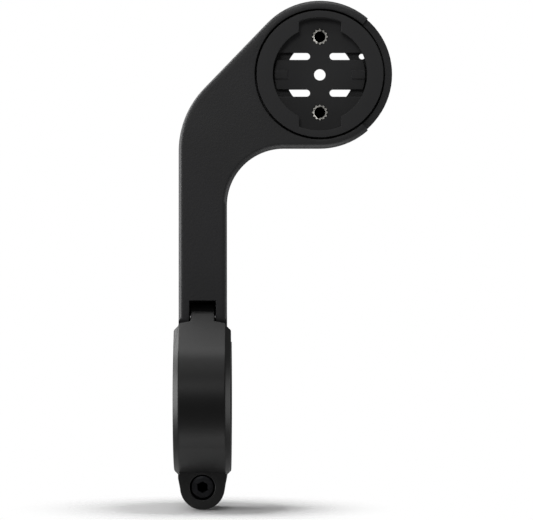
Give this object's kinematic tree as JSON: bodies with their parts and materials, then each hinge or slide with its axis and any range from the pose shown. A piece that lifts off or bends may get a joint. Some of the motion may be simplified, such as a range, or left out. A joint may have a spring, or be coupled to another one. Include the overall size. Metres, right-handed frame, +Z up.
{
  "type": "cycling computer mount",
  "caption": "Out-front handlebar mount for a cycling computer: hinged bar clamp with a bolted lug, cranked arm and a round quarter-turn socket disc",
  "frame": {"origin": "centre of the handlebar clamp, on the handlebar's axis and half way across the strap", "axes": "+X along the handlebar towards the side of the head, +Y forwards from the bar to the head, +Z up, out of the socket's face"},
  "size_m": [0.0604, 0.1408, 0.042],
  "materials": {
    "arm_nylon": "black glass-filled nylon, moulded, finely textured",
    "disc_nylon": "black nylon, moulded, satin",
    "strap_nylon": "black nylon, moulded, satin",
    "insert_metal": "nickel-plated knurled thread insert",
    "black_steel": "black-oxide steel",
    "pin_steel": "ground stainless steel",
    "pad_rubber": "moulded rubber"
  },
  "bodies": {
    "frame": {"arm": "arm_nylon", "hinge_pin": "pin_steel", "clamp_nut": "pin_steel", "lower_pad": "pad_rubber"},
    "strap": {"clamp_strap": "strap_nylon", "upper_pad": "pad_rubber"},
    "bolt": {"clamp_bolt": "black_steel"},
    "washer": {"lock_washer": "black_steel"},
    "disc": {"quarter_turn_disc": "disc_nylon", "thread_insert_front": "insert_metal", "thread_insert_rear": "insert_metal"},
    "screw_front": {"disc_screw_front": "black_steel"},
    "screw_rear": {"disc_screw_rear": "black_steel"}
  },
  "joints": [
    {"name": "strap_hinge", "type": "hinge", "parent": "frame", "child": "strap", "pos_m": [0, 0.023, 0], "axis": [-1, 0, 0], "range_deg": [0, 48]},
    {"name": "bolt_travel", "type": "slide", "parent": "strap", "child": "washer", "axis": [0, 0, 1], "range_m": [0, 0.02]},
    {"name": "bolt_turn", "type": "hinge", "parent": "washer", "child": "bolt", "pos_m": [0, -0.0237, 0], "axis": [0, 0, 1], "range_deg": [0, 10290]},
    {"name": "disc_lift", "type": "slide", "parent": "frame", "child": "disc", "axis": [0, 0, 1], "range_m": [0, 0.012]},
    {"name": "screw_front_travel", "type": "slide", "parent": "frame", "child": "screw_front", "axis": [0, 0, -1], "range_m": [0, 0.008]},
    {"name": "screw_rear_travel", "type": "slide", "parent": "frame", "child": "screw_rear", "axis": [0, 0, -1], "range_m": [0, 0.008]}
  ],
  "couplings": [
    {"joint": "bolt_turn", "follows": "bolt_travel", "rad_per_m": 8976}
  ]
}
